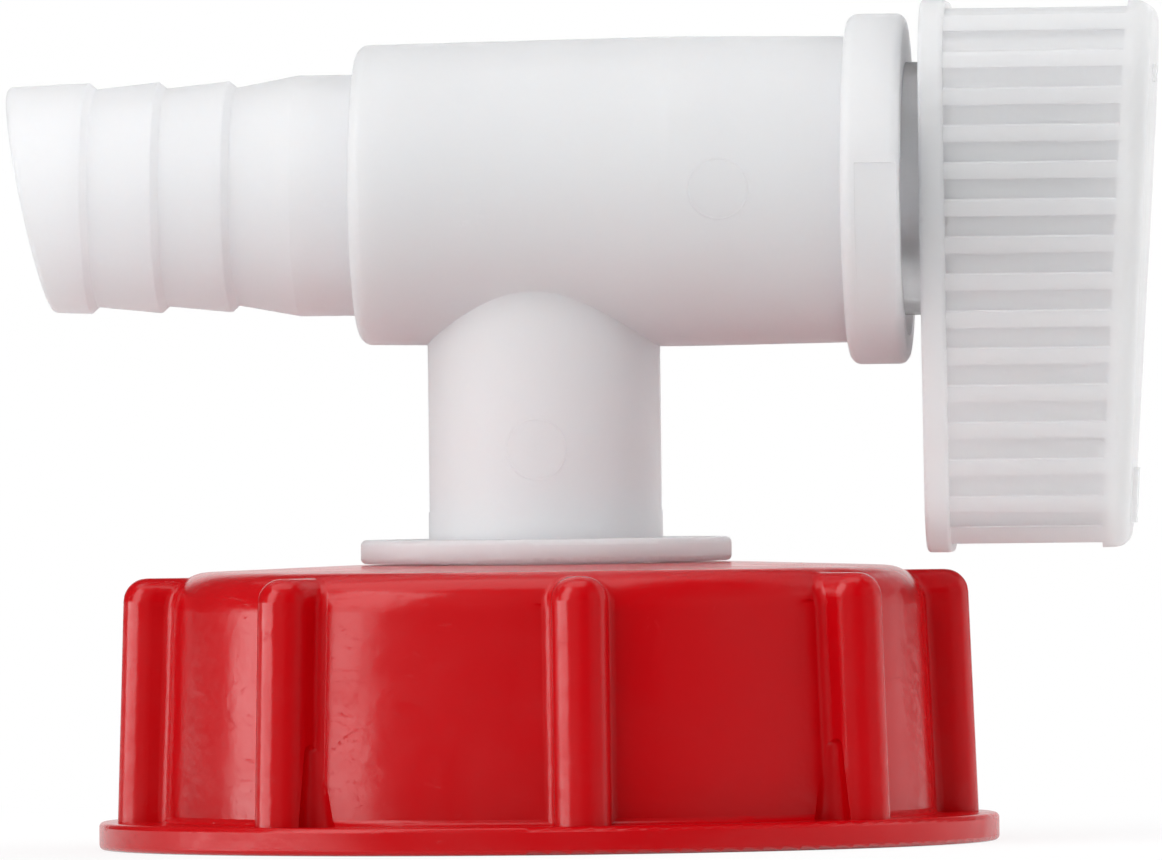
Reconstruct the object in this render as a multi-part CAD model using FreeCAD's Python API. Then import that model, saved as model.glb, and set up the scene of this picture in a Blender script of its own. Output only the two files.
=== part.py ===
import FreeCAD, Part
import math
import os

# Canister tap: a barbed rotary tap that swivels in a ribbed screw cap.
# Millimetres. The origin is on the cap's axis in the plane of its open end, +Z is up,
# +X runs along the barrel towards the handle, and the nozzle points along -X.

# Screw cap
CAP_HEIGHT = 22.45
RIM_RADIUS = 36.0
RIM_HEIGHT = 2.2
RIM_EDGE = 0.4
FOOT_FILLET = 0.7
FOOT_SINK = 0.04
CAP_WALL_RADIUS_LOW = 30.9
CAP_WALL_RADIUS_HIGH = 30.1
CAP_BORE_RADIUS = 28.6
CAP_TOP_WALL = 1.8
CAP_DOME_DROP = 0.5
CAP_FLAT_RADIUS = 16.0
CAP_SHOULDER = 3.2
CAP_CORNER = 0.6
BOSS_RADIUS = 12.4
BOSS_DEPTH = 4.0

# Grip ribs of the cap
RIB_COUNT = 8
RIB_FIRST_ANGLE = -81.0
RIB_WIDTH = 4.4
RIB_NOSE_LOW = 34.6
RIB_NOSE_HIGH = 33.85
RIB_TOP = 21.65
RIB_TOP_ROUND = 1.9
RIB_ROOT = 26.5
RIB_BASE_FILLET = 0.8
CHANNEL_HEIGHT = 6.4
CHANNEL_TOP_WIDTH = 1.3
CHANNEL_TOP_DEPTH = 0.3
CHANNEL_FOOT_WIDTH = 2.1
CHANNEL_FOOT_DEPTH = 0.45

# Thread of the cap: a trapezoid ridge whose crest is trimmed to a true cylinder
THREAD_PITCH = 4.0
THREAD_RIDGE = 1.2
THREAD_ROOT_WIDTH = 2.4
THREAD_CREST_WIDTH = 1.4
THREAD_START = 2.4
THREAD_TURNS = 2.6
THREAD_SINK = 0.3
THREAD_TRIM = 0.25
THREAD_CREST_SEAM = 10.0

# Gasket in the cap
GASKET_INNER_RADIUS = 19.5
GASKET_THICKNESS = 2.0
GASKET_SIDE_CLEARANCE = 0.2

# Barrel of the tap
AXIS_HEIGHT = 52.1
BARREL_LEFT = -14.7
BARREL_RADIUS_LEFT = 12.0
BARREL_RADIUS_MIDDLE = 12.4
BARREL_RADIUS_RIGHT = 12.24
BARREL_WIDEST = 11.0
BARREL_END_ROUND = 1.0
BARREL_FLOOR = 1.8

# Collar at the barrel's open end; angles turn about the barrel from the top towards -Y
COLLAR_LEFT = 24.6
COLLAR_WIDTH = 4.7
COLLAR_RADIUS = 14.0
COLLAR_EDGE_LEFT = 0.9
COLLAR_EDGE_RIGHT = 0.8
RECESS_DEPTH = 0.3
RECESS_MARGIN = 1.2
RECESS_START = 81.4
RECESS_END = 140.0

# Hose nozzle
NOZZLE_BORE_RADIUS = 7.3
ROOT_RADIUS = 9.65
ROOT_LENGTH = 4.8
CONE_LENGTH = 4.9
BARB_CREST_RADIUS = 9.26
BARB_VALLEY_RADIUS = 8.74
BARB_PITCH = 5.65
BARB_COUNT = 3
BARB_STEP = 0.6
BARB_ROUND = 0.15
TIP_RADIUS = 8.95
MOUTH_TOP_REACH = 28.2
MOUTH_BOTTOM_REACH = 24.7
MOUTH_EDGE = 0.45

# Neck, flange and spigot of the tap
NECK_RADIUS = 9.3
NECK_BORE_RADIUS = 6.6
NECK_BAND_PROUD = 0.07
NECK_BAND_HEIGHT = 2.2
FLANGE_RADIUS = 14.84
FLANGE_THICKNESS = 1.9
FLANGE_EDGE = 0.45
FLANGE_GAP = 0.12
SPIGOT_RADIUS = 9.1
SPIGOT_LENGTH = 7.6
SPIGOT_CHAMFER = 0.5
SWIVEL_CLEARANCE = 0.07

# O-rings
O_RING_SECTION = 1.4
O_RING_SIDE_ROOM = 0.15
O_RING_SEAT_CLEARANCE = 0.02
O_RING_WALL_CLEARANCE = 0.03
NECK_O_RING_DEPTH = 2.6

# Snap ring under the cap's boss
SNAP_RING_RADIUS = 11.4
SNAP_RING_THICKNESS = 1.2
SNAP_RING_OPENING = 40.0
SNAP_GROOVE_DEPTH = 0.9
SNAP_CLEARANCE = 0.06

# Rotary plug
PLUG_RADIUS = 10.1
PLUG_CLEARANCE = 0.05
PLUG_BORE_RADIUS = 7.3
PLUG_END_GAP = 0.4
WEB_LEFT = 9.4
WEB_THICKNESS = 2.0
PLUG_O_RING_STATION = 10.4
PLUG_SHOULDER = 2.6
HUB_SHOW = 1.4
BEAD_STATION = 26.6
BEAD_WIDTH = 1.6
BEAD_HEIGHT = 0.5
BEAD_CLEARANCE = 0.1
STUB_RADIUS = 6.4
STUB_BORE_RADIUS = 4.4
STUB_FLAT = 5.5
STUB_LENGTH = 13.5
STUB_CHAMFER = 0.6
STUB_BEAD_INSET = 2.4
STUB_BEAD_HEIGHT = 0.3

# Stop between the plug and the collar; angles turn as on the collar
STOP_TRAVEL = 180.0
STOP_LUG_MIDDLE = 270.0
STOP_LUG_ANGLE = 24.0
STOP_LUG_HEIGHT = 1.5
STOP_LUG_WIDTH = 1.0
STOP_CLEARANCE = 0.15
STOP_ANGLE_CLEARANCE = 0.6

# Lever handle; heights are measured from the barrel's axis, and the tail hangs just above the cap's ribs
HANDLE_TOP = 14.7
TAIL_GAP = 1.37
HEAD_HALF_WIDTH = 10.25
HEAD_WIDE_UNTIL = 2.0
TAIL_HALF_WIDTH = 6.25
HEAD_ROUND = 6.5
CHEEK_ROUND = 20.0
TAIL_ROUND = 4.6
END_AT_AXIS = 48.5
END_TILT = 3.4
END_ROUND = 1.35
HANDLE_WALL = 1.7
LIP_WIDTH = 2.0
LIP_PROUD = 0.28
LIP_EDGE = 0.35
END_LIP_WIDTH = 2.1
GROOVE_TOP_EDGE = 13.7
GROOVE_PITCH = 2.945
GROOVE_HEIGHT = 1.55
GROOVE_DEPTH = 0.45
GROOVE_EDGE = 0.15
TAIL_RIB_TOP = 1.8
TAIL_RIB_BOTTOM = 0.4
SOCKET_RADIUS = 8.0
SOCKET_CLEARANCE = 0.04
MARK_SINK = 0.3
PAD_HEIGHT = 0.25
PAD_LENGTH = 1.4
PAD_CENTRE = 9.0
POINTER_HEIGHT = 0.4
POINTER_LENGTH = 4.4
POINTER_OFF_TAIL = 4.1
MARK_WIDTH = 3.0

# Cutting tools reach well past the part
REACH = 100.0
OVERRUN = 1.0
FULL_TURN = 360.0
HALF_TURN = 180.0

X_AXIS = FreeCAD.Vector(1, 0, 0)
Y_AXIS = FreeCAD.Vector(0, 1, 0)
Z_AXIS = FreeCAD.Vector(0, 0, 1)
CAP_CENTRE = FreeCAD.Vector(0, 0, 0)
BARREL_CENTRE = FreeCAD.Vector(0, 0, AXIS_HEIGHT)

# Places worked out from the sizes above
cap_ceiling = CAP_HEIGHT - CAP_TOP_WALL
cap_hole_radius = SPIGOT_RADIUS + SWIVEL_CLEARANCE
boss_bottom = cap_ceiling - BOSS_DEPTH
flange_bottom = CAP_HEIGHT + FLANGE_GAP
flange_top = flange_bottom + FLANGE_THICKNESS
spigot_bottom = CAP_HEIGHT - SPIGOT_LENGTH
neck_ring_height = CAP_HEIGHT - NECK_O_RING_DEPTH
snap_ring_top = boss_bottom - SNAP_CLEARANCE
snap_ring_bottom = snap_ring_top - SNAP_RING_THICKNESS
bore_floor = BARREL_LEFT + BARREL_FLOOR
bore_radius = PLUG_RADIUS + PLUG_CLEARANCE
collar_right = COLLAR_LEFT + COLLAR_WIDTH
plug_left = bore_floor + PLUG_END_GAP
handle_left = collar_right + HUB_SHOW
stub_end = handle_left + STUB_LENGTH
o_ring_radius = O_RING_SECTION / 2
thread_minor_radius = CAP_BORE_RADIUS - THREAD_RIDGE
handle_tail = AXIS_HEIGHT - RIB_TOP - TAIL_GAP - LIP_PROUD
last_rib_top = TAIL_RIB_TOP - handle_tail


def along_barrel(station, radius):
    """Point above the barrel's axis, for profiles that turn about it."""
    return FreeCAD.Vector(station, 0, AXIS_HEIGHT + radius)


def beside_cap_axis(radius, height):
    """Point beside the cap's axis, for profiles that turn about it."""
    return FreeCAD.Vector(radius, 0, height)


def across_handle(y, z):
    """Point of a cross-section of the handle, whose own origin is on the barrel's axis."""
    return FreeCAD.Vector(0, y, z)


def rounded_wire(place, corners):
    """Closed wire through corners (a, b) or (a, b, radius); a radius rounds its corner with an arc."""
    points = [place(corner[0], corner[1]) for corner in corners]
    starts = []
    ends = []
    middles = []
    for index, point in enumerate(points):
        radius = corners[index][2] if len(corners[index]) > 2 else 0
        if radius == 0:
            starts.append(point)
            ends.append(point)
            middles.append(None)
            continue
        before = (points[index - 1] - point).normalize()
        after = (points[(index + 1) % len(points)] - point).normalize()
        half_angle = before.getAngle(after) / 2
        cut_back = radius / math.tan(half_angle)
        inward = (before + after).normalize()
        centre = point + inward * (radius / math.sin(half_angle))
        starts.append(point + before * cut_back)
        ends.append(point + after * cut_back)
        middles.append(centre - inward * radius)
    edges = []
    for index, middle in enumerate(middles):
        if middle is not None:
            edges.append(Part.Arc(starts[index], middle, ends[index]).toShape())
        following = (index + 1) % len(points)
        edges.append(Part.LineSegment(ends[index], starts[following]).toShape())
    return Part.Wire(edges)


def turned_on_barrel(corners, start=0.0, angle=FULL_TURN):
    """Solid turned about the barrel's axis from corners (station, radius)."""
    face = Part.Face(rounded_wire(along_barrel, corners))
    face.rotate(BARREL_CENTRE, X_AXIS, start)
    return face.revolve(BARREL_CENTRE, X_AXIS, angle)


def turned_on_cap(corners, angle=FULL_TURN):
    """Solid turned about the cap's axis from corners (radius, height)."""
    face = Part.Face(rounded_wire(beside_cap_axis, corners))
    return face.revolve(CAP_CENTRE, Z_AXIS, angle)


def barrel_ring(inner, outer, left, right, start=0.0, angle=FULL_TURN):
    """Ring, or a sector of one, about the barrel's axis."""
    corners = [(left, inner), (left, outer), (right, outer), (right, inner)]
    return turned_on_barrel(corners, start, angle)


def barrel_cylinder(radius, left, right):
    """Cylinder on the barrel's axis."""
    return Part.makeCylinder(radius, right - left, FreeCAD.Vector(left, 0, AXIS_HEIGHT), X_AXIS)


def cap_cylinder(radius, low, high):
    """Cylinder on the cap's axis."""
    return Part.makeCylinder(radius, high - low, FreeCAD.Vector(0, 0, low), Z_AXIS)


def block_past_plane(station, tilt, depth=REACH):
    """Block that starts at a plane across the barrel and tilts about the Y axis."""
    block = Part.makeBox(depth, 2 * REACH, 2 * REACH, FreeCAD.Vector(0, -REACH, -REACH))
    block.rotate(FreeCAD.Vector(0, 0, 0), Y_AXIS, tilt)
    block.translate(FreeCAD.Vector(station, 0, AXIS_HEIGHT))
    return block


def edges_on_plane(shape, point, normal):
    """Edges of a shape whose ends and middle all lie on a plane."""
    found = []
    for edge in shape.Edges:
        middle = edge.valueAt((edge.FirstParameter + edge.LastParameter) / 2)
        places = [vertex.Point for vertex in edge.Vertexes] + [middle]
        if all(abs((place - point).dot(normal)) < 1e-4 for place in places):
            found.append(edge)
    return found


def cap_rib(angle):
    """One grip rib with a full-round nose, tapering a little towards its rounded top."""
    half = RIB_WIDTH / 2
    wires = []
    for nose, height in ((RIB_NOSE_LOW, RIM_HEIGHT / 2), (RIB_NOSE_HIGH, RIB_TOP)):
        straight = nose - half
        near_root = FreeCAD.Vector(RIB_ROOT, -half, height)
        near_nose = FreeCAD.Vector(straight, -half, height)
        far_nose = FreeCAD.Vector(straight, half, height)
        far_root = FreeCAD.Vector(RIB_ROOT, half, height)
        tip = FreeCAD.Vector(nose, 0, height)
        edges = [
            Part.LineSegment(near_root, near_nose).toShape(),
            Part.Arc(near_nose, tip, far_nose).toShape(),
            Part.LineSegment(far_nose, far_root).toShape(),
            Part.LineSegment(far_root, near_root).toShape(),
        ]
        wires.append(Part.Wire(edges))
    rib = Part.makeLoft(wires, True, True)
    top_edges = edges_on_plane(rib, FreeCAD.Vector(0, 0, RIB_TOP), Z_AXIS)
    outer_edges = [edge for edge in top_edges if edge.BoundBox.XMax > RIB_ROOT + half]
    rib = rib.makeFillet(RIB_TOP_ROUND, outer_edges)
    rib.rotate(CAP_CENTRE, Z_AXIS, angle)
    return rib


def rib_base_edges(shape):
    """Upright edges where the grip ribs meet the cap's wall."""
    found = []
    for edge in shape.Edges:
        box = edge.BoundBox
        middle = edge.valueAt((edge.FirstParameter + edge.LastParameter) / 2)
        radius = math.hypot(middle.x, middle.y)
        tall = box.ZMax - box.ZMin > CAP_HEIGHT / 2
        if tall and CAP_WALL_RADIUS_HIGH - RIM_EDGE < radius < CAP_WALL_RADIUS_LOW + RIM_EDGE:
            found.append(edge)
    return found


def channel_round(width, depth):
    """Radius of the round cutter whose bite in a flat side has this width and depth."""
    return (width**2 / 4 + depth**2) / (2 * depth)


def rib_channel(angle, side):
    """Round-topped channel at the foot of a rib's flank, on its side -1 or +1, wider towards the rim."""
    top_radius = channel_round(CHANNEL_TOP_WIDTH, CHANNEL_TOP_DEPTH)
    foot_radius = channel_round(CHANNEL_FOOT_WIDTH, CHANNEL_FOOT_DEPTH)
    top_y = side * (RIB_WIDTH / 2 + top_radius - CHANNEL_TOP_DEPTH)
    foot_y = side * (RIB_WIDTH / 2 + foot_radius - CHANNEL_FOOT_DEPTH)
    top_height = RIM_HEIGHT + CHANNEL_HEIGHT - CHANNEL_TOP_WIDTH / 2
    top = FreeCAD.Vector(CAP_WALL_RADIUS_LOW + CHANNEL_TOP_WIDTH / 2, top_y, top_height)
    foot = FreeCAD.Vector(CAP_WALL_RADIUS_LOW + CHANNEL_FOOT_WIDTH / 2, foot_y, RIM_HEIGHT)
    channel = Part.makeCone(foot_radius, top_radius, (top - foot).Length, foot, top - foot)
    channel = channel.fuse(Part.makeSphere(top_radius, top))
    channel.rotate(CAP_CENTRE, Z_AXIS, angle)
    return channel


def thread_half_width(radius):
    """Half the width of the thread's ridge at a radius, along the line of its flanks."""
    flank_slope = (THREAD_ROOT_WIDTH - THREAD_CREST_WIDTH) / 2 / THREAD_RIDGE
    return THREAD_CREST_WIDTH / 2 + (radius - thread_minor_radius) * flank_slope


def cap_thread():
    """Helical trapezoid ridge on the inside of the cap, sunk in its wall."""
    helix = Part.makeHelix(THREAD_PITCH, THREAD_PITCH * THREAD_TURNS, CAP_BORE_RADIUS)
    helix.translate(FreeCAD.Vector(0, 0, THREAD_START))
    root = CAP_BORE_RADIUS + THREAD_SINK
    untrimmed_crest = thread_minor_radius - THREAD_TRIM
    corners = [
        (root, THREAD_START - thread_half_width(root)),
        (root, THREAD_START + thread_half_width(root)),
        (untrimmed_crest, THREAD_START + thread_half_width(untrimmed_crest)),
        (untrimmed_crest, THREAD_START - thread_half_width(untrimmed_crest)),
    ]
    profile = rounded_wire(beside_cap_axis, corners)
    ridge = Part.Wire(helix).makePipeShell([profile], True, True)
    core = cap_cylinder(thread_minor_radius, -THREAD_PITCH, cap_ceiling)
    core.rotate(CAP_CENTRE, Z_AXIS, THREAD_CREST_SEAM)
    return ridge.cut(core)


def wall_foot():
    """Ring that rounds the corner between rim and wall with a hollow; it is sunk a little in both."""
    inner = CAP_WALL_RADIUS_LOW - OVERRUN
    wall = CAP_WALL_RADIUS_LOW - FOOT_SINK
    outer = CAP_WALL_RADIUS_LOW + FOOT_FILLET
    low = RIM_HEIGHT - OVERRUN
    rim = RIM_HEIGHT - FOOT_SINK
    high = RIM_HEIGHT + FOOT_FILLET
    corners = [
        (inner, low),
        (outer, low),
        (outer, rim),
        (wall, rim, FOOT_FILLET),
        (wall, high),
        (inner, high),
    ]
    return turned_on_cap(corners)


def make_screw_cap():
    """Ribbed cap with a rim, a threaded inside and a boss round its centre hole."""
    outside = turned_on_cap(
        [
            (0, 0),
            (RIM_RADIUS, 0, RIM_EDGE),
            (RIM_RADIUS, RIM_HEIGHT, RIM_EDGE),
            (CAP_WALL_RADIUS_LOW, RIM_HEIGHT),
            (CAP_WALL_RADIUS_HIGH, CAP_HEIGHT - CAP_DOME_DROP, CAP_SHOULDER),
            (CAP_FLAT_RADIUS, CAP_HEIGHT),
            (0, CAP_HEIGHT),
        ]
    )
    rib_angles = [RIB_FIRST_ANGLE + FULL_TURN * index / RIB_COUNT for index in range(RIB_COUNT)]
    outside = outside.multiFuse([cap_rib(angle) for angle in rib_angles])
    outside = outside.makeFillet(RIB_BASE_FILLET, rib_base_edges(outside))
    outside = outside.fuse(wall_foot())
    channelled = rib_angles[1::2]
    outside = outside.cut([rib_channel(angle, side) for angle in channelled for side in (-1, 1)])
    inside = turned_on_cap(
        [
            (0, -OVERRUN),
            (CAP_BORE_RADIUS, -OVERRUN),
            (CAP_BORE_RADIUS, cap_ceiling, CAP_CORNER),
            (BOSS_RADIUS, cap_ceiling),
            (BOSS_RADIUS, boss_bottom),
            (0, boss_bottom),
        ]
    )
    hole = cap_cylinder(cap_hole_radius, boss_bottom - OVERRUN, CAP_HEIGHT + OVERRUN)
    return outside.cut(inside).cut(hole).fuse(cap_thread())


def make_cap_gasket():
    """Flat sealing ring against the cap's ceiling."""
    outer = CAP_BORE_RADIUS - GASKET_SIDE_CLEARANCE
    bottom = cap_ceiling - GASKET_THICKNESS
    corners = [
        (GASKET_INNER_RADIUS, bottom),
        (outer, bottom),
        (outer, cap_ceiling, CAP_CORNER + GASKET_SIDE_CLEARANCE),
        (GASKET_INNER_RADIUS, cap_ceiling),
    ]
    return turned_on_cap(corners)


def nozzle_corners():
    """Outside of the nozzle from its tip to the barrel, as (station, radius)."""
    tip = BARREL_LEFT - MOUTH_TOP_REACH - OVERRUN
    root_left = BARREL_LEFT - ROOT_LENGTH
    corners = [(tip, 0), (tip, TIP_RADIUS)]
    for index in reversed(range(BARB_COUNT)):
        valley = root_left - CONE_LENGTH - index * BARB_PITCH
        corners.append((valley - BARB_STEP, BARB_CREST_RADIUS, BARB_ROUND))
        corners.append((valley, BARB_VALLEY_RADIUS, BARB_ROUND))
    corners.append((root_left, ROOT_RADIUS))
    corners.append((BARREL_LEFT, ROOT_RADIUS))
    return corners


def tap_outside():
    """Outside of the nozzle, barrel and collar, turned in one piece."""
    barrel_corners = [
        (BARREL_LEFT, BARREL_RADIUS_LEFT, BARREL_END_ROUND),
        (BARREL_WIDEST, BARREL_RADIUS_MIDDLE),
        (COLLAR_LEFT, BARREL_RADIUS_RIGHT),
        (COLLAR_LEFT, COLLAR_RADIUS, COLLAR_EDGE_LEFT),
        (collar_right, COLLAR_RADIUS, COLLAR_EDGE_RIGHT),
        (collar_right, 0),
    ]
    return turned_on_barrel(nozzle_corners() + barrel_corners)


def tap_neck():
    """Neck, flange and grooved spigot, turned about the cap's axis."""
    ring_half = o_ring_radius + O_RING_SIDE_ROOM
    ring_floor = cap_hole_radius - O_RING_WALL_CLEARANCE - O_RING_SECTION - O_RING_SEAT_CLEARANCE
    snap_floor = SPIGOT_RADIUS - SNAP_GROOVE_DEPTH
    corners = [
        (0, spigot_bottom),
        (SPIGOT_RADIUS - SPIGOT_CHAMFER, spigot_bottom),
        (SPIGOT_RADIUS, spigot_bottom + SPIGOT_CHAMFER),
        (SPIGOT_RADIUS, snap_ring_bottom - SNAP_CLEARANCE),
        (snap_floor, snap_ring_bottom - SNAP_CLEARANCE),
        (snap_floor, snap_ring_top + SNAP_CLEARANCE),
        (SPIGOT_RADIUS, snap_ring_top + SNAP_CLEARANCE),
        (SPIGOT_RADIUS, neck_ring_height - ring_half),
        (ring_floor, neck_ring_height - ring_half),
        (ring_floor, neck_ring_height + ring_half),
        (SPIGOT_RADIUS, neck_ring_height + ring_half),
        (SPIGOT_RADIUS, flange_bottom),
        (FLANGE_RADIUS, flange_bottom, FLANGE_EDGE),
        (FLANGE_RADIUS, flange_top, FLANGE_EDGE),
        (NECK_RADIUS + NECK_BAND_PROUD, flange_top),
        (NECK_RADIUS + NECK_BAND_PROUD, flange_top + NECK_BAND_HEIGHT),
        (NECK_RADIUS, flange_top + NECK_BAND_HEIGHT),
        (NECK_RADIUS, AXIS_HEIGHT),
        (0, AXIS_HEIGHT),
    ]
    return turned_on_cap(corners)


def tap_bore():
    """Space inside the nozzle and barrel, with the groove for the plug's bead."""
    groove_half = BEAD_WIDTH / 2 + BEAD_CLEARANCE
    groove_radius = PLUG_RADIUS + BEAD_HEIGHT + BEAD_CLEARANCE
    tip = BARREL_LEFT - MOUTH_TOP_REACH - 2 * OVERRUN
    corners = [
        (tip, 0),
        (tip, NOZZLE_BORE_RADIUS),
        (bore_floor, NOZZLE_BORE_RADIUS),
        (bore_floor, bore_radius),
        (BEAD_STATION - groove_half, bore_radius),
        (BEAD_STATION - groove_half, groove_radius),
        (BEAD_STATION + groove_half, groove_radius),
        (BEAD_STATION + groove_half, bore_radius),
        (collar_right + OVERRUN, bore_radius),
        (collar_right + OVERRUN, 0),
    ]
    return turned_on_barrel(corners)


def collar_recess():
    """Shallow recess on the collar's near side, deepest at its upper edge and running out below."""
    turn = RECESS_END - RECESS_START
    left = COLLAR_LEFT + RECESS_MARGIN
    right = collar_right + OVERRUN
    recess = barrel_ring(COLLAR_RADIUS, COLLAR_RADIUS + OVERRUN, left, right, RECESS_START, turn)
    offset = RECESS_DEPTH / math.sin(math.radians(turn))
    end = math.radians(RECESS_END)
    recess.translate(FreeCAD.Vector(0, -offset * math.cos(end), -offset * math.sin(end)))
    return recess


def stop_notch():
    """Sector at the collar's open end in which the plug's lug travels."""
    margin = STOP_LUG_ANGLE / 2 + STOP_ANGLE_CLEARANCE
    start = STOP_LUG_MIDDLE - STOP_TRAVEL - margin
    angle = STOP_TRAVEL + 2 * margin
    outer = PLUG_RADIUS + STOP_LUG_HEIGHT + STOP_CLEARANCE
    left = collar_right - STOP_LUG_WIDTH - STOP_CLEARANCE
    return barrel_ring(NOZZLE_BORE_RADIUS, outer, left, collar_right + OVERRUN, start, angle)


def make_tap_body():
    """Moulded body: barbed nozzle, barrel, collar, neck, flange and spigot in one piece."""
    body = tap_outside().fuse(tap_neck())
    body = body.cut(tap_bore())
    body = body.cut(cap_cylinder(NECK_BORE_RADIUS, spigot_bottom - OVERRUN, AXIS_HEIGHT))
    rise = MOUTH_TOP_REACH - MOUTH_BOTTOM_REACH
    slant = math.degrees(math.atan2(rise, 2 * TIP_RADIUS))
    mouth = BARREL_LEFT - (MOUTH_TOP_REACH + MOUTH_BOTTOM_REACH) / 2
    mouth_cutter = block_past_plane(mouth, HALF_TURN - slant)
    body = body.cut(mouth_cutter)
    normal = FreeCAD.Vector(math.cos(math.radians(slant)), 0, math.sin(math.radians(slant)))
    mouth_edges = edges_on_plane(body, FreeCAD.Vector(mouth, 0, AXIS_HEIGHT), normal)
    body = body.makeFillet(MOUTH_EDGE, mouth_edges)
    near_recess = collar_recess()
    far_recess = near_recess.mirror(BARREL_CENTRE, Y_AXIS)
    return body.cut([near_recess, far_recess]).cut(stop_notch())


def make_neck_o_ring():
    """O-ring in the spigot's groove, against the wall of the cap's hole."""
    middle = cap_hole_radius - O_RING_WALL_CLEARANCE - o_ring_radius
    return Part.makeTorus(middle, o_ring_radius, FreeCAD.Vector(0, 0, neck_ring_height), Z_AXIS)


def make_neck_snap_ring():
    """Split ring in the spigot's lower groove, under the cap's boss."""
    inner = SPIGOT_RADIUS - SNAP_GROOVE_DEPTH + SNAP_CLEARANCE
    corners = [
        (inner, snap_ring_bottom),
        (SNAP_RING_RADIUS, snap_ring_bottom),
        (SNAP_RING_RADIUS, snap_ring_top),
        (inner, snap_ring_top),
    ]
    return turned_on_cap(corners, FULL_TURN - SNAP_RING_OPENING)


def make_plug_o_ring(station):
    """O-ring round the plug, against the barrel's bore."""
    middle = bore_radius - O_RING_WALL_CLEARANCE - o_ring_radius
    return Part.makeTorus(middle, o_ring_radius, FreeCAD.Vector(station, 0, AXIS_HEIGHT), X_AXIS)


def plug_outside():
    """Outside of the plug with its two O-ring grooves, snap bead, hub and stub."""
    ring_half = o_ring_radius + O_RING_SIDE_ROOM
    ring_floor = bore_radius - O_RING_WALL_CLEARANCE - O_RING_SECTION - O_RING_SEAT_CLEARANCE
    corners = [(plug_left, 0), (plug_left, PLUG_RADIUS)]
    for station in (-PLUG_O_RING_STATION, PLUG_O_RING_STATION):
        corners.append((station - ring_half, PLUG_RADIUS))
        corners.append((station - ring_half, ring_floor))
        corners.append((station + ring_half, ring_floor))
        corners.append((station + ring_half, PLUG_RADIUS))
    bead_half = BEAD_WIDTH / 2
    stub_bead = stub_end - STUB_BEAD_INSET
    corners += [
        (BEAD_STATION - bead_half, PLUG_RADIUS),
        (BEAD_STATION, PLUG_RADIUS + BEAD_HEIGHT),
        (BEAD_STATION + bead_half, PLUG_RADIUS + BEAD_HEIGHT),
        (BEAD_STATION + bead_half, PLUG_RADIUS),
        (handle_left, PLUG_RADIUS),
        (handle_left, STUB_RADIUS),
        (stub_bead - bead_half, STUB_RADIUS),
        (stub_bead - bead_half, STUB_RADIUS + STUB_BEAD_HEIGHT),
        (stub_bead, STUB_RADIUS + STUB_BEAD_HEIGHT),
        (stub_bead + bead_half, STUB_RADIUS),
        (stub_end - STUB_CHAMFER, STUB_RADIUS),
        (stub_end, STUB_RADIUS - STUB_CHAMFER),
        (stub_end, 0),
    ]
    return turned_on_barrel(corners)


def make_valve_plug():
    """Hollow plug, open towards the nozzle, with one round window in its side."""
    plug = plug_outside()
    plug = plug.cut(barrel_cylinder(PLUG_BORE_RADIUS, plug_left - OVERRUN, WEB_LEFT))
    shoulder = handle_left - PLUG_SHOULDER
    plug = plug.cut(barrel_cylinder(PLUG_BORE_RADIUS, WEB_LEFT + WEB_THICKNESS, shoulder))
    plug = plug.cut(barrel_cylinder(STUB_BORE_RADIUS, shoulder - OVERRUN, stub_end + OVERRUN))
    window = cap_cylinder(NECK_BORE_RADIUS, AXIS_HEIGHT, AXIS_HEIGHT + PLUG_RADIUS + OVERRUN)
    plug = plug.cut(window)
    for side in (-1, 1):
        plug = plug.cut(stub_flat_block(side, handle_left, STUB_FLAT))
    lug = barrel_ring(
        PLUG_RADIUS - OVERRUN,
        PLUG_RADIUS + STOP_LUG_HEIGHT,
        collar_right - STOP_LUG_WIDTH,
        collar_right,
        STOP_LUG_MIDDLE - STOP_LUG_ANGLE / 2,
        STOP_LUG_ANGLE,
    )
    return plug.fuse(lug)


def stub_flat_block(side, left, flat):
    """Block beyond one flat of the stub, on the side -1 or +1 of the barrel's axis."""
    width = PLUG_RADIUS
    low_y = flat if side > 0 else -flat - width
    corner = FreeCAD.Vector(left, low_y, AXIS_HEIGHT - PLUG_RADIUS)
    return Part.makeBox(2 * STUB_LENGTH, width, 2 * PLUG_RADIUS, corner)


def grown_corners(corners, spread):
    """Corners (a, b, radius) of a convex outline whose sides all move outwards by spread."""
    points = [FreeCAD.Vector(a, b, 0) for a, b, radius in corners]
    grown = []
    for index, point in enumerate(points):
        before = (points[index - 1] - point).normalize()
        after = (points[(index + 1) % len(points)] - point).normalize()
        half_angle = before.getAngle(after) / 2
        moved = point - (before + after).normalize() * (spread / math.sin(half_angle))
        grown.append((moved.x, moved.y, corners[index][2] + spread))
    return grown


def lever_outline(spread):
    """Cross-section of the handle, a wide head and a narrow tail, grown all round by spread."""
    corners = [
        (HEAD_HALF_WIDTH, HANDLE_TOP, HEAD_ROUND),
        (HEAD_HALF_WIDTH, -HEAD_WIDE_UNTIL, CHEEK_ROUND),
        (TAIL_HALF_WIDTH, -handle_tail, TAIL_ROUND),
        (-TAIL_HALF_WIDTH, -handle_tail, TAIL_ROUND),
        (-HEAD_HALF_WIDTH, -HEAD_WIDE_UNTIL, CHEEK_ROUND),
        (-HEAD_HALF_WIDTH, HANDLE_TOP, HEAD_ROUND),
    ]
    return rounded_wire(across_handle, grown_corners(corners, spread))


def lever_prism(spread, left, right):
    """Prism of the handle's cross-section, grown or shrunk all round by spread."""
    prism = Part.Face(lever_outline(spread)).extrude(X_AXIS * (right - left))
    prism.translate(FreeCAD.Vector(left, 0, AXIS_HEIGHT))
    return prism


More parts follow.
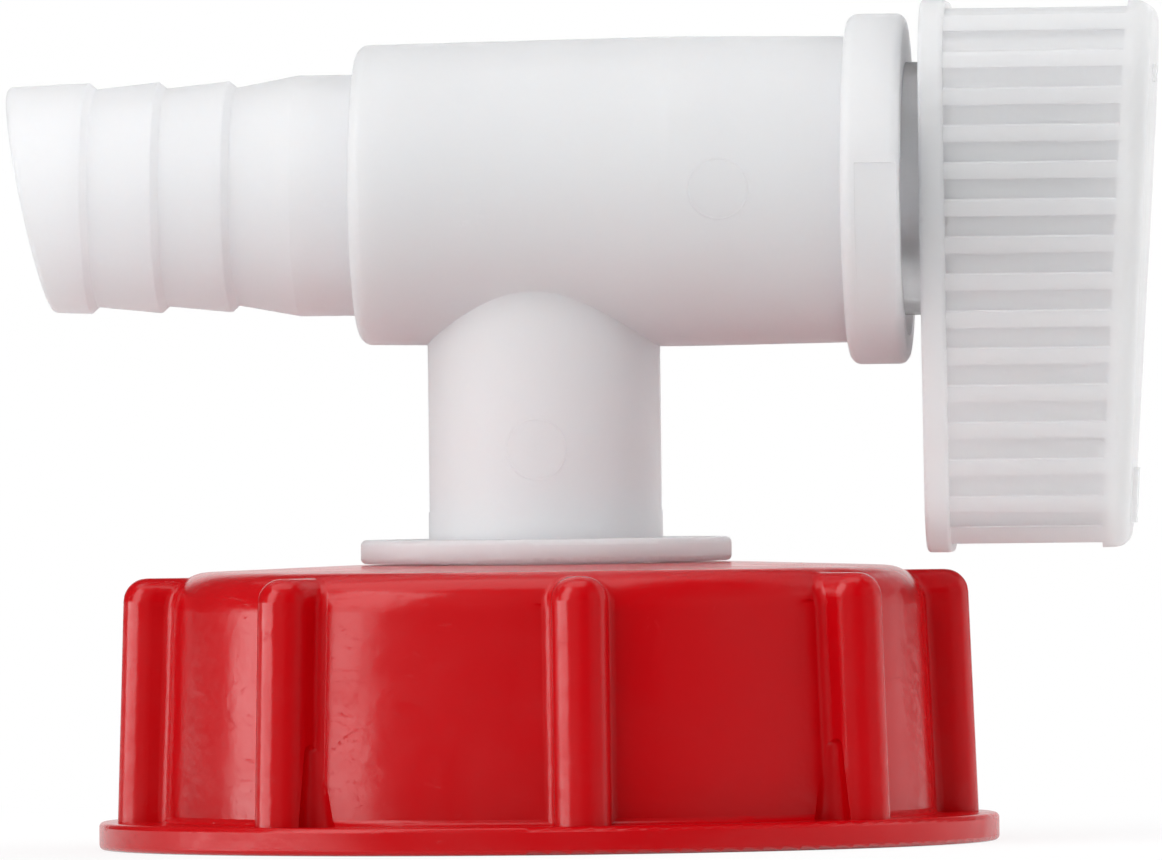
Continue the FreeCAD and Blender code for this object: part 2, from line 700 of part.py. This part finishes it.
def handle_shell():
    """Outside of the handle: raised lip, body and rounded sloping end, hollow from its open side."""
    past_end = block_past_plane(END_AT_AXIS, END_TILT)
    body = lever_prism(0, handle_left, END_AT_AXIS + HANDLE_TOP).cut(past_end)
    slope = math.radians(END_TILT)
    normal = FreeCAD.Vector(math.cos(slope), 0, -math.sin(slope))
    end_edges = edges_on_plane(body, FreeCAD.Vector(END_AT_AXIS, 0, AXIS_HEIGHT), normal)
    body = body.makeFillet(END_ROUND, end_edges)
    lip = lever_prism(LIP_PROUD, handle_left, handle_left + LIP_WIDTH)
    lip_edges = edges_on_plane(lip, FreeCAD.Vector(handle_left, 0, 0), X_AXIS)
    lip_edges += edges_on_plane(lip, FreeCAD.Vector(handle_left + LIP_WIDTH, 0, 0), X_AXIS)
    lip = lip.makeFillet(LIP_EDGE, lip_edges)
    hollow = lever_prism(-HANDLE_WALL, handle_left - OVERRUN, END_AT_AXIS + HANDLE_TOP)
    hollow = hollow.cut(block_past_plane(END_AT_AXIS - HANDLE_WALL, END_TILT))
    return body.fuse(lip).cut(hollow)


def groove_bands():
    """Lower and upper edge of each grip groove; the last one is cut away below the tail's rib."""
    count = math.ceil((GROOVE_TOP_EDGE + GROOVE_HEIGHT - last_rib_top) / GROOVE_PITCH)
    lows = [GROOVE_TOP_EDGE - index * GROOVE_PITCH for index in range(count)]
    bands = [(max(low, last_rib_top), low + GROOVE_HEIGHT) for low in lows]
    bands.append((-handle_tail - 2 * OVERRUN, TAIL_RIB_BOTTOM - handle_tail))
    return bands


def groove_edges(handle):
    """Outer lower edges of the grip grooves, one on each side of the handle."""
    lows = [low for low, high in groove_bands()]
    outermost = {}
    for edge in handle.Edges:
        box = edge.BoundBox
        along_x = box.XLength > LIP_WIDTH and box.YLength < 1e-4 and box.ZLength < 1e-4
        height = box.ZMin - AXIS_HEIGHT
        matches = [low for low in lows if abs(height - low) < 1e-3]
        if not along_x or not matches:
            continue
        place = (matches[0], box.YMin > 0)
        if place not in outermost or abs(box.YMin) > abs(outermost[place].BoundBox.YMin):
            outermost[place] = edge
    return list(outermost.values())


def handle_grooves():
    """Grip grooves across both sides of the handle, between the lip and the end."""
    left = handle_left + LIP_WIDTH
    right = END_AT_AXIS + HANDLE_TOP
    skin = lever_prism(OVERRUN, left, right).cut(lever_prism(-GROOVE_DEPTH, left, right))
    skin = skin.cut(block_past_plane(END_AT_AXIS - END_LIP_WIDTH, END_TILT))
    slabs = []
    for low, high in groove_bands():
        corner = FreeCAD.Vector(left - OVERRUN, -REACH, AXIS_HEIGHT + low)
        slabs.append(Part.makeBox(REACH, 2 * REACH, high - low, corner))
    return skin.common(Part.makeCompound(slabs))


def handle_socket():
    """Tube inside the handle that takes the plug's stub, closed by the end wall."""
    tube = barrel_cylinder(SOCKET_RADIUS, handle_left + SOCKET_CLEARANCE, END_AT_AXIS)
    return tube.cut(block_past_plane(END_AT_AXIS - HANDLE_WALL / 2, END_TILT))


def socket_hole():
    """Keyed hole of the socket, with the groove for the stub's bead."""
    bead_half = BEAD_WIDTH / 2
    stub_bead = stub_end - STUB_BEAD_INSET
    radius = STUB_RADIUS + SOCKET_CLEARANCE
    groove_radius = radius + STUB_BEAD_HEIGHT
    corners = [
        (handle_left - OVERRUN, 0),
        (handle_left - OVERRUN, radius),
        (stub_bead - bead_half - BEAD_CLEARANCE, radius),
        (stub_bead - bead_half - BEAD_CLEARANCE, groove_radius),
        (stub_bead + bead_half + BEAD_CLEARANCE, groove_radius),
        (stub_bead + bead_half + BEAD_CLEARANCE, radius),
        (stub_end + BEAD_CLEARANCE, radius),
        (stub_end + BEAD_CLEARANCE, 0),
    ]
    hole = turned_on_barrel(corners)
    for side in (-1, 1):
        hole = hole.cut(stub_flat_block(side, handle_left - 2 * OVERRUN, STUB_FLAT + SOCKET_CLEARANCE))
    return hole


def end_mark(centre, length, height):
    """Plain raised mark on the handle's end face."""
    mark = Part.makeBox(height + MARK_SINK, MARK_WIDTH, length)
    mark.translate(FreeCAD.Vector(-MARK_SINK, -MARK_WIDTH / 2, centre - length / 2))
    mark.rotate(FreeCAD.Vector(0, 0, 0), Y_AXIS, END_TILT)
    mark.translate(FreeCAD.Vector(END_AT_AXIS, 0, AXIS_HEIGHT))
    return mark


def make_handle():
    """Hollow ribbed lever that the plug's stub is pressed into."""
    handle = handle_shell().fuse(handle_socket()).cut(socket_hole())
    handle = handle.cut(handle_grooves())
    handle = handle.makeChamfer(GROOVE_EDGE, groove_edges(handle))
    handle = handle.fuse(end_mark(PAD_CENTRE, PAD_LENGTH, PAD_HEIGHT))
    return handle.fuse(end_mark(POINTER_OFF_TAIL - handle_tail, POINTER_LENGTH, POINTER_HEIGHT))


def save(name, shape):
    """Write one sub-part as a STEP file of its own."""
    shape.exportStep(os.path.join("parts", name + ".step"))
    print(name, "solids", len(shape.Solids), "valid", shape.isValid(), "volume", round(shape.Volume, 1))


def main():
    os.makedirs("parts", exist_ok=True)
    save("screw_cap", make_screw_cap())
    save("cap_gasket", make_cap_gasket())
    save("tap_body", make_tap_body())
    save("neck_o_ring", make_neck_o_ring())
    save("neck_snap_ring", make_neck_snap_ring())
    save("valve_plug", make_valve_plug())
    save("plug_o_ring_inner", make_plug_o_ring(-PLUG_O_RING_STATION))
    save("plug_o_ring_outer", make_plug_o_ring(PLUG_O_RING_STATION))
    save("handle", make_handle())


main()
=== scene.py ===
import math

import bpy
from mathutils import Matrix, Vector


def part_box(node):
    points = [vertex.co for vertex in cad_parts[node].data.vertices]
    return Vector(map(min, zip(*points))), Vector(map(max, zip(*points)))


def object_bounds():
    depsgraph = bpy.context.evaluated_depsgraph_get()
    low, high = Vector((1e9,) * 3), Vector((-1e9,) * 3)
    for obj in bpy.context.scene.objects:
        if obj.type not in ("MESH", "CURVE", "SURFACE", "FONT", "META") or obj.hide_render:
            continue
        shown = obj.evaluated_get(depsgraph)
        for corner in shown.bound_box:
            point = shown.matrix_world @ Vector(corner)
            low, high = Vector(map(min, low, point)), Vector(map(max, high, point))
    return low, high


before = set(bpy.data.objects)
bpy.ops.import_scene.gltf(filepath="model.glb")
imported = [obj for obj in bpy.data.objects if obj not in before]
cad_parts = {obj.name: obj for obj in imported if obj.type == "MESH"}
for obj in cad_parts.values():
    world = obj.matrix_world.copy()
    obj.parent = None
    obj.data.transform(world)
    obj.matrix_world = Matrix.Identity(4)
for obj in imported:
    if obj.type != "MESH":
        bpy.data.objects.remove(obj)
cad_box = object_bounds()

MM = 0.001
WHITE = (1.0, 1.0, 1.0)
OPAQUE = 1.0

# Camera: the photograph's width and its scale at the object, and where the camera stands and looks
PHOTO_WIDTH = 1162
PIXELS_PER_METRE = 12500.0
SENSOR_WIDTH = 36.0
CAMERA_DISTANCE = 1.35
CAMERA_AZIMUTH = 4.2
CAMERA_ELEVATION = 0.0
CAMERA_ROLL = 0.65
CAMERA_AIM = Vector((0.0029, 0.0, 0.0331))
CLIP_NEAR = 0.05
CLIP_FAR = 50.0

# Studio: a white backdrop right behind the object and dim air beside it; angles in degrees
STUDIO_TINT = (0.985, 0.985, 1.0)
BACKDROP_AZIMUTH = 184.0
BACKDROP_CORE = 12.0
BACKDROP_EDGE = 26.0
DIM_LIGHT = 0.03

# Panels: name, azimuth, elevation, distance, width, height, radiance, and what they light.
# Only the object's gloss shows the gloss panels, and only its matt colour takes light from the fills.
PANELS = (
    ("left_softbox", -77, 1, 0.9, 0.9, 0.16, 6.4, "gloss"),
    ("left_upper", -60, 30, 0.9, 0.5, 0.75, 4.0, "gloss"),
    ("top_softbox", -90, 78, 0.8, 0.6, 0.9, 1.8, "gloss"),
    ("right_wall", 120, 12, 1.0, 0.8, 0.8, 0.7, "gloss"),
    ("right_front", 62, 10, 1.0, 0.9, 0.8, 0.2, "gloss"),
    ("front_fill", -34, 20, 1.0, 1.2, 1.2, 1.9, "fill"),
    ("left_fill", -88, 22, 1.0, 1.2, 1.2, 0.4, "fill"),
    ("right_fill", 82, 22, 1.0, 1.2, 1.2, 1.1, "fill"),
    ("back_left_fill", -145, 20, 1.0, 1.2, 1.2, 0.5, "fill"),
    ("back_right_fill", 140, 20, 1.0, 1.2, 1.2, 2.4, "fill"),
    ("top_fill", -40, 72, 0.9, 1.0, 1.0, 1.5, "fill"),
)

# Floor: its half width, how far it lies under the cap, and from which Y on gloss sees its white
FLOOR_REACH = 3.0
FLOOR_DROP = 0.02 * MM
MIRRORED_FROM = -0.045
PAPER_WHITE = (0.9, 0.9, 0.9)
PAPER_DARK = (0.03, 0.03, 0.03)

# Shadow: how far from the object's middle it has faded out, and how much of it shows beside the cap
SHADOW_REACH = 0.16
SHADOW_SHARE = 0.2

# Natural plastic: the two tones of each piece, how clear each piece is, and how light scatters inside
BODY_TONES = ((0.925, 0.93, 0.965), (0.95, 0.955, 0.98))
HANDLE_TONES = ((0.925, 0.925, 0.945), (0.95, 0.95, 0.965))
PLUG_TONES = ((0.95, 0.95, 0.965), (0.97, 0.97, 0.98))
MILKY = 0.35
NEARLY_CLEAR = 0.9
NATURAL_SCATTER = 4 * MM
NATURAL_SCATTER_TINT = (1.0, 0.96, 0.93)
NATURAL_SHINE = 0.2
PLASTIC_IOR = 1.5

# Round marks that mould pins left on the near side of the barrel and of the neck
BARREL_MARK_X = 0.0149
BARREL_NEAR_Y = -0.0124
NECK_NEAR_Y = -0.0093
NECK_MARK_HEIGHT = 0.0316
PIN_MARK_RADIUS = 2.4 * MM
PIN_MARK_WIDTH = 0.12 * MM

# Red plastic: its two tones, the pale tone of worn places and of painted sheen, and how much of that each
# kind of mark shows; the rubbed patches are partly wear and partly painted sheen
RED_TONES = ((0.48, 0.0002, 0.002), (0.54, 0.0006, 0.004))
WORN_AND_SHEEN_RED = (0.72, 0.045, 0.055)
RUBBED_AND_SHEEN_SHARE = 0.05
EDGE_SHARE = 0.06
SCUFF_SHARE = 0.2
RED_SCATTER_SHARE = 0.12
RED_SCATTER = 1.2 * MM
RED_SCATTER_TINT = (1.0, 0.25, 0.2)
RED_SHINE = 0.3

# How far below the cap's highest point its scuffs reach
SCUFF_DEPTH = 9 * MM

# Pale seals: silicone of the O-rings and foam of the gasket
RUBBER_TONES = ((0.8, 0.8, 0.79), (0.86, 0.86, 0.85))
FOAM_TONES = ((0.72, 0.72, 0.7), (0.86, 0.86, 0.84))
FOAM_CELLS = 1400.0
FOAM_ROUGHNESS = 0.8
FOAM_SCATTER_SHARE = 0.3
FOAM_SCATTER = 1.0 * MM

# Places that the shaders and the lamps need, read from the frame
cap_low, cap_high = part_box("screw_cap")
o_ring_low, o_ring_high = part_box("plug_o_ring_inner")
axis_height = (o_ring_low.z + o_ring_high.z) / 2
object_middle = (cad_box[0] + cad_box[1]) / 2


def cosine(degrees):
    """Cosine of an angle in degrees."""
    return math.cos(math.radians(degrees))


def sine(degrees):
    """Sine of an angle in degrees."""
    return math.sin(math.radians(degrees))


def direction(azimuth, elevation):
    """Unit vector from the object towards azimuth (0 is -Y, 90 is +X) and elevation, in degrees."""
    level = cosine(elevation)
    return Vector((sine(azimuth) * level, -cosine(azimuth) * level, sine(elevation)))


class Graph:
    """Node tree of a material or a world, with short calls for the nodes that repeat."""

    def __init__(self, owner):
        owner.use_nodes = True
        self.tree = owner.node_tree
        self.tree.nodes.clear()

    def node(self, kind, **settings):
        """New node with its settings."""
        made = self.tree.nodes.new(kind)
        for key, value in settings.items():
            setattr(made, key, value)
        return made

    def join(self, source, target):
        """Give an input its value: a socket is linked, and a number, a point or a colour is written."""
        if isinstance(source, bpy.types.NodeSocket):
            self.tree.links.new(source, target)
        elif target.type == "RGBA":
            target.default_value = (*source, OPAQUE)
        else:
            target.default_value = source

    def fill(self, made, **values):
        """Give a node's inputs their values by name, with _ for each space."""
        for key, value in values.items():
            self.join(value, made.inputs[key.replace("_", " ")])

    def feed(self, made, *sources):
        """Give a node's inputs their values in order."""
        for source, slot in zip(sources, made.inputs):
            self.join(source, slot)

    def math(self, operation, *sources, clamp=False):
        """Number from one or two others."""
        made = self.node("ShaderNodeMath", operation=operation, use_clamp=clamp)
        self.feed(made, *sources)
        return made.outputs["Value"]

    def measure(self, operation, *sources):
        """Number from two vectors, such as the distance between them."""
        made = self.node("ShaderNodeVectorMath", operation=operation)
        self.feed(made, *sources)
        return made.outputs["Value"]

    def axis(self, place, letter):
        """One coordinate of a place."""
        made = self.node("ShaderNodeSeparateXYZ")
        self.fill(made, Vector=place)
        return made.outputs[letter]

    def spread(self, value, low, high, to_low=0.0, to_high=1.0):
        """Smooth remap of a value from one range to another."""
        made = self.node("ShaderNodeMapRange", interpolation_type="SMOOTHSTEP")
        self.fill(made, Value=value, From_Min=low, From_Max=high, To_Min=to_low, To_Max=to_high)
        return made.outputs["Result"]

    def blend(self, share, first, second):
        """Mix of two colours, each a tuple or a socket."""
        made = self.node("ShaderNodeMix", data_type="RGBA")
        self.fill(made, Factor=share, A=first, B=second)
        return made.outputs["Result"]

    def mix_shaders(self, share, first, second):
        """Mix of two shaders."""
        made = self.node("ShaderNodeMixShader")
        self.feed(made, share, first, second)
        return made.outputs["Shader"]

    def white_share(self, path, mirrored):
        """Share of white that a ray sees: all for the camera and through plastic, a given part in gloss."""
        in_gloss = self.math("MULTIPLY", path["Is Glossy Ray"], mirrored)
        direct = self.math("ADD", path["Is Camera Ray"], path["Is Transmission Ray"], clamp=True)
        return self.math("ADD", direct, in_gloss, clamp=True)


class Finish(Graph):
    """Material of one surface shader, with calls for the patterns in its skin."""

    def __init__(self, name):
        self.material = bpy.data.materials.new(name)
        super().__init__(self.material)
        output = self.node("ShaderNodeOutputMaterial")
        self.surface = self.node("ShaderNodeBsdfPrincipled")
        self.join(self.surface.outputs["BSDF"], output.inputs["Surface"])
        self.place = self.node("ShaderNodeTexCoord").outputs["Object"]

    def noise(self, scale, detail, rough=0.5, bend=0.0, stretch=None):
        """Noise pattern, with its coordinates scaled along each axis where stretch is given."""
        place = self.place
        if stretch:
            mapping = self.node("ShaderNodeMapping")
            self.fill(mapping, Vector=place, Scale=stretch)
            place = mapping.outputs["Vector"]
        made = self.node("ShaderNodeTexNoise")
        self.fill(made, Vector=place, Scale=scale, Detail=detail, Roughness=rough, Distortion=bend)
        return made.outputs["Fac"]

    def bump(self, height, depth, strength=1.0, below=None):
        """Surface direction with a pattern raised on it, over the bumps below."""
        made = self.node("ShaderNodeBump")
        self.fill(made, Height=height, Distance=depth, Strength=strength)
        if below is not None:
            self.fill(made, Normal=below)
        return made.outputs["Normal"]

    def give(self, **values):
        """Give the surface shader's inputs their values."""
        self.fill(self.surface, **values)


def make_camera():
    """Camera at the photograph's viewing angle."""
    data = bpy.data.cameras.new("camera")
    data.sensor_width = SENSOR_WIDTH
    data.lens = SENSOR_WIDTH * CAMERA_DISTANCE * PIXELS_PER_METRE / PHOTO_WIDTH
    data.clip_start = CLIP_NEAR
    data.clip_end = CLIP_FAR
    camera = bpy.data.objects.new("camera", data)
    bpy.context.scene.collection.objects.link(camera)
    back = direction(CAMERA_AZIMUTH, CAMERA_ELEVATION)
    facing = (-back).to_track_quat("-Z", "Y").to_matrix().to_4x4()
    roll = Matrix.Rotation(math.radians(-CAMERA_ROLL), 4, "Z")
    camera.matrix_world = Matrix.Translation(CAMERA_AIM + back * CAMERA_DISTANCE) @ facing @ roll
    bpy.context.scene.camera = camera


def make_panel(name, azimuth, elevation, distance, width, height, radiance, part):
    """Soft rectangular lamp that faces the object, for its gloss or its matt colour."""
    data = bpy.data.lights.new(name, "AREA")
    data.shape = "RECTANGLE"
    data.size = width
    data.size_y = height
    data.energy = radiance * math.pi * width * height
    lamp = bpy.data.objects.new(name, data)
    bpy.context.scene.collection.objects.link(lamp)
    towards = direction(azimuth, elevation)
    lamp.location = object_middle + towards * distance
    lamp.rotation_mode = "QUATERNION"
    lamp.rotation_quaternion = (-towards).to_track_quat("-Z", "Y")
    lamp.visible_camera = False
    lamp.visible_glossy = part == "gloss"
    lamp.visible_diffuse = part == "fill"


def make_world():
    """Studio that is white to the camera; other rays meet its backdrop, and dim air beside that."""
    world = bpy.data.worlds.new("studio")
    bpy.context.scene.world = world
    graph = Graph(world)
    looking = graph.node("ShaderNodeTexCoord").outputs["Generated"]
    facing = graph.measure("DOT_PRODUCT", looking, direction(BACKDROP_AZIMUTH, 0))
    edge = cosine(BACKDROP_EDGE)
    core = cosine(BACKDROP_CORE)
    backdrop = graph.spread(facing, low=edge, high=core, to_low=DIM_LIGHT)
    around = graph.node("ShaderNodeBackground")
    graph.fill(around, Color=STUDIO_TINT, Strength=backdrop)
    seen = graph.node("ShaderNodeBackground")
    graph.fill(seen, Color=WHITE)
    share = graph.white_share(graph.node("ShaderNodeLightPath").outputs, backdrop)
    mix = graph.mix_shaders(share, around.outputs["Background"], seen.outputs["Background"])
    graph.fill(graph.node("ShaderNodeOutputWorld"), Surface=mix)


def floor_white():
    """White floor that keeps a soft shadow of the object and is plain white farther away."""
    material = bpy.data.materials.new("floor_white")
    graph = Graph(material)
    path = graph.node("ShaderNodeLightPath").outputs
    place = graph.node("ShaderNodeNewGeometry").outputs["Position"]
    paper = graph.node("ShaderNodeBsdfDiffuse")
    graph.fill(paper, Color=graph.blend(path["Is Glossy Ray"], PAPER_WHITE, PAPER_DARK))
    white = graph.node("ShaderNodeEmission")
    graph.fill(white, Color=WHITE)
    behind = graph.math("GREATER_THAN", graph.axis(place, "Y"), MIRRORED_FROM)
    away = graph.measure("DISTANCE", place, (object_middle.x, object_middle.y, cap_low.z))
    plain = graph.spread(away, low=cap_high.x, high=SHADOW_REACH, to_low=1.0 - SHADOW_SHARE)
    share = graph.math("MULTIPLY", graph.white_share(path, behind), plain)
    mix = graph.mix_shaders(share, paper.outputs["BSDF"], white.outputs["Emission"])
    graph.fill(graph.node("ShaderNodeOutputMaterial"), Surface=mix)
    return material


def make_floor():
    """Pale floor under the object."""
    corners = [(x * FLOOR_REACH, y * FLOOR_REACH, 0) for x, y in ((-1, -1), (1, -1), (1, 1), (-1, 1))]
    mesh = bpy.data.meshes.new("floor")
    mesh.from_pydata(corners, [], [range(len(corners))])
    floor = bpy.data.objects.new("floor", mesh)
    floor.location.z = cap_low.z - FLOOR_DROP
    bpy.context.scene.collection.objects.link(floor)
    floor.data.materials.append(floor_white())


def ring_mark(shader, centre):
    """Height of the faint round mark of a mould pin."""
    away = shader.measure("DISTANCE", shader.place, centre)
    off_ring = shader.math("ABSOLUTE", shader.math("SUBTRACT", away, PIN_MARK_RADIUS))
    return shader.spread(off_ring, low=0.0, high=PIN_MARK_WIDTH, to_low=1.0, to_high=0.0)


def natural_plastic(name, tones, clearness, marks=()):
    """Milky unpigmented moulded plastic: light runs inside it, and its smooth skin has faint marks."""
    shader = Finish(name)
    cloud = shader.noise(scale=70.0, detail=3.0)
    haze = shader.noise(scale=160.0, detail=5.0, rough=0.6)
    grain = shader.noise(scale=420.0, detail=3.0)
    lines = shader.noise(scale=260.0, detail=8.0, rough=0.75, bend=2.0, stretch=(1.0, 1.0, 6.0))
    scratches = shader.spread(lines, low=0.6, high=0.75)
    skin = shader.bump(grain, depth=0.05 * MM, strength=0.5)
    for centre in marks:
        skin = shader.bump(ring_mark(shader, centre), depth=0.06 * MM, strength=0.7, below=skin)
    skin = shader.bump(scratches, depth=0.03 * MM, strength=0.5, below=skin)
    shader.give(
        Base_Color=shader.blend(cloud, *tones),
        Roughness=shader.spread(haze, low=0.3, high=0.75, to_low=0.44, to_high=0.58),
        Normal=skin,
        Subsurface_Weight=1.0,
        Subsurface_Radius=NATURAL_SCATTER_TINT,
        Subsurface_Scale=NATURAL_SCATTER,
        Transmission_Weight=clearness,
        IOR=PLASTIC_IOR,
        Specular_IOR_Level=NATURAL_SHINE,
    )
    return shader.material


def red_wear_and_sheen(shader, patches):
    """Share of the pale tone: rubbed patches that are partly wear and partly painted sheen, pale edges, and
    hair scuffs in places on the shoulder.
    """
    streaks = shader.noise(scale=120.0, detail=9.0, rough=0.8, bend=3.0, stretch=(1.0, 1.0, 2.5))
    streaks = shader.spread(streaks, low=0.42, high=0.62)
    # Pale rubbed patches: partly wear, partly painted sheen laid into the colour
    rubbed_and_sheen = shader.math("MULTIPLY", shader.spread(patches, low=0.55, high=0.75), streaks)
    pointed = shader.node("ShaderNodeNewGeometry").outputs["Pointiness"]
    edges = shader.spread(pointed, low=0.52, high=0.58)
    hairs = shader.noise(scale=340.0, detail=6.0, rough=0.8, bend=2.5, stretch=(1.0, 1.0, 0.35))
    hairs = shader.spread(hairs, low=0.6, high=0.7)
    places = shader.spread(shader.noise(scale=48.0, detail=2.0), low=0.5, high=0.62)
    height = shader.axis(shader.place, "Z")
    shoulder = shader.spread(height, low=cap_high.z - SCUFF_DEPTH, high=cap_high.z - SCUFF_DEPTH / 2)
    scuffs = shader.math("MULTIPLY", shader.math("MULTIPLY", hairs, places), shoulder)
    worn_and_sheen = 0.0
    for pale_mark, share in ((rubbed_and_sheen, RUBBED_AND_SHEEN_SHARE), (edges, EDGE_SHARE), (scuffs, SCUFF_SHARE)):
        worn_and_sheen = shader.math("MAXIMUM", worn_and_sheen, shader.math("MULTIPLY", pale_mark, share))
    return worn_and_sheen


def red_plastic():
    """Pigmented red moulded plastic with a satin gloss, pale scuffs, pale patches that are partly wear and
    partly painted sheen, and fine scratches.
    """
    shader = Finish("red_plastic")
    flow = shader.noise(scale=55.0, detail=4.0, rough=0.55, bend=1.2)
    patches = shader.noise(scale=85.0, detail=6.0, rough=0.7, bend=0.6)
    worn_and_sheen = red_wear_and_sheen(shader, patches)
    peel = shader.noise(scale=1000.0, detail=2.0)
    grain = shader.noise(scale=300.0, detail=4.0, rough=0.6)
    ripple = shader.noise(scale=60.0, detail=3.0, bend=1.0)
    lines = shader.noise(scale=190.0, detail=10.0, rough=0.85, bend=4.0, stretch=(1.0, 1.0, 3.0))
    scratches = shader.spread(lines, low=0.57, high=0.7)
    skin = shader.bump(peel, depth=0.03 * MM, strength=0.6)
    skin = shader.bump(grain, depth=0.06 * MM, strength=0.5, below=skin)
    skin = shader.bump(ripple, depth=0.5 * MM, strength=0.35, below=skin)
    skin = shader.bump(scratches, depth=0.03 * MM, strength=0.4, below=skin)
    shader.give(
        # The pale tone is partly painted sheen where the rubbed patches lie, and wear elsewhere
        Base_Color=shader.blend(worn_and_sheen, shader.blend(flow, *RED_TONES), WORN_AND_SHEEN_RED),
        Roughness=shader.spread(patches, low=0.25, high=0.8, to_low=0.16, to_high=0.28),
        Normal=skin,
        Subsurface_Weight=RED_SCATTER_SHARE,
        Subsurface_Radius=RED_SCATTER_TINT,
        Subsurface_Scale=RED_SCATTER,
        IOR=PLASTIC_IOR,
        Specular_IOR_Level=RED_SHINE,
    )
    return shader.material


def gasket_foam():
    """Pale closed-cell foam of the flat gasket."""
    shader = Finish("gasket_foam")
    cells = shader.node("ShaderNodeTexVoronoi")
    shader.fill(cells, Vector=shader.place, Scale=FOAM_CELLS)
    cell = cells.outputs["Distance"]
    shader.give(
        Base_Color=shader.blend(cell, *FOAM_TONES),
        Roughness=FOAM_ROUGHNESS,
        Normal=shader.bump(cell, depth=0.15 * MM),
        Subsurface_Weight=FOAM_SCATTER_SHARE,
        Subsurface_Scale=FOAM_SCATTER,
    )
    return shader.material


def seal_rubber():
    """Pale silicone of the O-rings, smooth with a fine grain."""
    shader = Finish("seal_rubber")
    grain = shader.noise(scale=900.0, detail=3.0, rough=0.6)
    shader.give(
        Base_Color=shader.blend(grain, *RUBBER_TONES),
        Roughness=shader.spread(grain, low=0.2, high=0.8, to_low=0.55, to_high=0.75),
        Normal=shader.bump(grain, depth=0.05 * MM),
    )
    return shader.material


def dress(material, *names):
    """Give CAD nodes their finish."""
    for name in names:
        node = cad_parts[name]
        node.data.materials.clear()
        node.data.materials.append(material)


def main():
    """Studio, floor and finishes."""
    bpy.context.scene.view_settings.view_transform = "Standard"
    make_camera()
    make_world()
    for panel in PANELS:
        make_panel(*panel)
    make_floor()
    marks = ((BARREL_MARK_X, BARREL_NEAR_Y, axis_height), (0.0, NECK_NEAR_Y, NECK_MARK_HEIGHT))
    dress(natural_plastic("natural_body", BODY_TONES, MILKY, marks), "tap_body")
    dress(natural_plastic("natural_handle", HANDLE_TONES, MILKY), "handle")
    dress(natural_plastic("natural_plug", PLUG_TONES, NEARLY_CLEAR), "valve_plug", "neck_snap_ring")
    dress(red_plastic(), "screw_cap")
    dress(gasket_foam(), "cap_gasket")
    dress(seal_rubber(), "neck_o_ring", "plug_o_ring_inner", "plug_o_ring_outer")


main()
